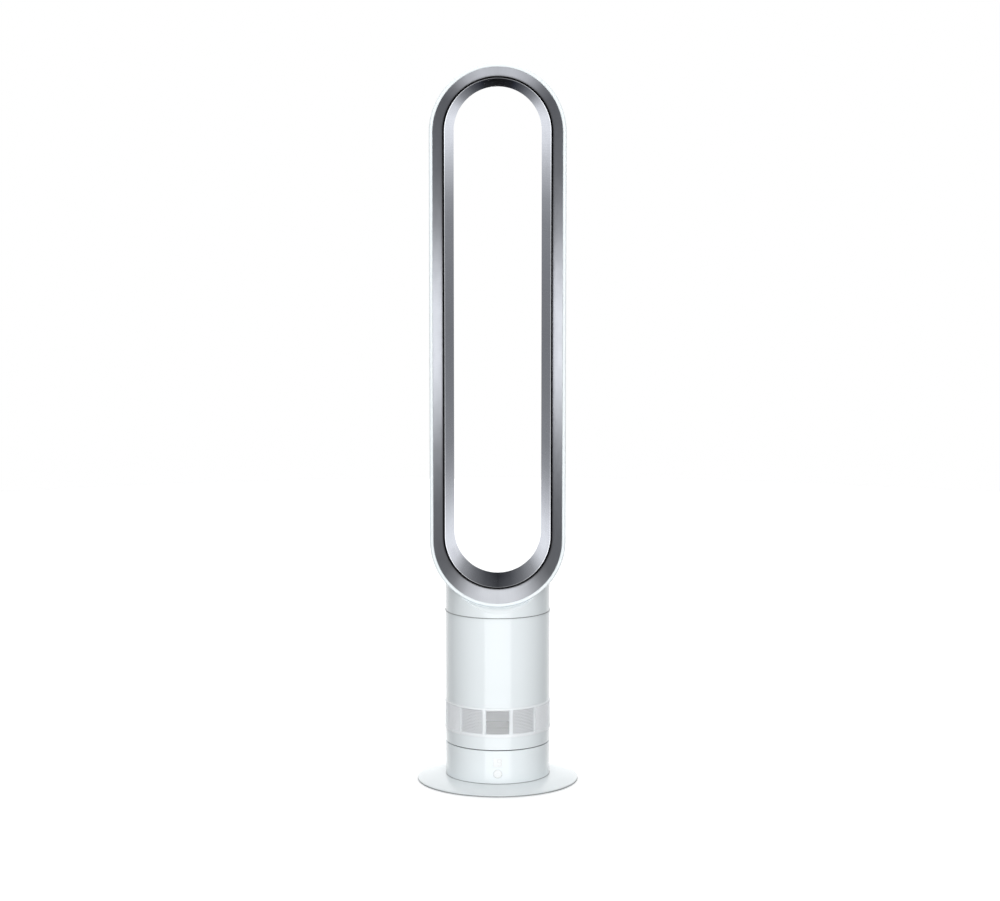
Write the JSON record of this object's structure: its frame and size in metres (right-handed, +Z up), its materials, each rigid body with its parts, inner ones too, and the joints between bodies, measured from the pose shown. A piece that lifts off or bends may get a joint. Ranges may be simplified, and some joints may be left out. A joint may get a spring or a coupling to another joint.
{
  "type": "tower fan",
  "caption": "Bladeless tower fan: a tall oval loop nozzle on a round oscillating column with a perforated air inlet, a fixed lower housing with a power button, and a round floor plate.",
  "frame": {"origin": "centre of the underside of the foot ring, on the column's oscillation axis", "axes": "+Z up along the column, -Y towards the front that air blows out of, +X to the right seen from the front"},
  "size_m": [0.226, 0.226, 1.0069],
  "materials": {
    "white_body": "glossy moulded white",
    "white_plate": "satin-gloss moulded white",
    "white_loop": "glossy moulded white",
    "white_grille": "satin moulded white, perforated",
    "white_button": "satin moulded white",
    "display_white": "translucent white",
    "inner_white": "plain moulding",
    "silver_wall": "metallic silver lacquer, satin",
    "silver_lip": "metallic silver lacquer, satin",
    "seam_grey": "matt moulded seal",
    "rubber": "matt",
    "steel": "bright zinc plated",
    "motor_can": "zinc plated can",
    "acetal": "natural acetal",
    "dark_frame": "glass-filled, matt",
    "duct_plastic": "plain moulding",
    "impeller_plastic": "glass-filled, matt",
    "foam": "open-cell foam",
    "board_green": "solder-masked board",
    "chip_black": "matt black",
    "copper": "lacquered copper wire",
    "magnet": "black-coated ferrite"
  },
  "bodies": {
    "base": {"foot_ring": "rubber", "base_plate": "white_plate", "base_plate_screws": "steel", "lower_housing": "white_body", "cord_grommet": "rubber", "pivot_tower": "dark_frame", "pivot_tower_screws": "steel", "pivot_bush": "acetal", "glide_ring": "acetal", "control_board": "board_green", "button_switch": "chip_black", "display_module": "chip_black", "display_window": "display_white", "infrared_receiver": "chip_black", "power_board": "board_green", "power_components": "chip_black", "oscillation_motor": "motor_can", "oscillation_motor_screws": "steel"},
    "pinion": {"drive_pinion": "acetal"},
    "button": {"power_button": "white_button", "switch_plunger": "acetal"},
    "column": {"turntable": "dark_frame", "ring_gear_sector": "acetal", "retaining_collar": "steel", "turntable_screws": "steel", "body_shell": "white_body", "inlet_grille": "white_grille", "inlet_foam": "foam", "duct_seal": "rubber", "isolation_mounts": "rubber", "impeller_housing": "duct_plastic", "diffuser_vanes": "duct_plastic", "motor_bucket_lower": "duct_plastic", "motor_bucket_upper": "duct_plastic", "stator_core": "steel", "stator_windings": "copper", "bearing_outer_races": "steel", "motor_board": "board_green", "bayonet_ring": "acetal", "neck_gasket": "seam_grey", "neck": "white_body", "outer_shell": "white_loop", "diffuser_wall": "silver_wall", "rear_lip": "silver_lip", "slot_spacers": "silver_wall", "air_splitter": "inner_white"},
    "rotor": {"impeller": "impeller_plastic", "impeller_nut": "steel", "motor_shaft": "steel", "rotor_core": "steel", "rotor_magnets": "magnet", "bearing_inner_races": "steel", "bearing_balls": "steel"}
  },
  "joints": [
    {"name": "oscillation", "type": "hinge", "parent": "base", "child": "column", "pos_m": [0, 0, 0.051], "axis": [0, 0, 1], "range_deg": [-35, 35]},
    {"name": "pinion_turn", "type": "hinge", "parent": "base", "child": "pinion", "pos_m": [-0.03005, 0.03005, 0.0465], "axis": [0, 0, 1], "range_deg": [-234, 234]},
    {"name": "button_press", "type": "slide", "parent": "base", "child": "button", "axis": [0, 1, 0], "range_m": [0, 0.0008], "stiffness_N_per_m": 600},
    {"name": "impeller_spin", "type": "hinge", "parent": "column", "child": "rotor", "pos_m": [0, 0, 0.18], "axis": [0, 0, 1], "continuous": true}
  ],
  "couplings": [
    {"joint": "pinion_turn", "follows": "oscillation", "ratio": 6.6667}
  ]
}
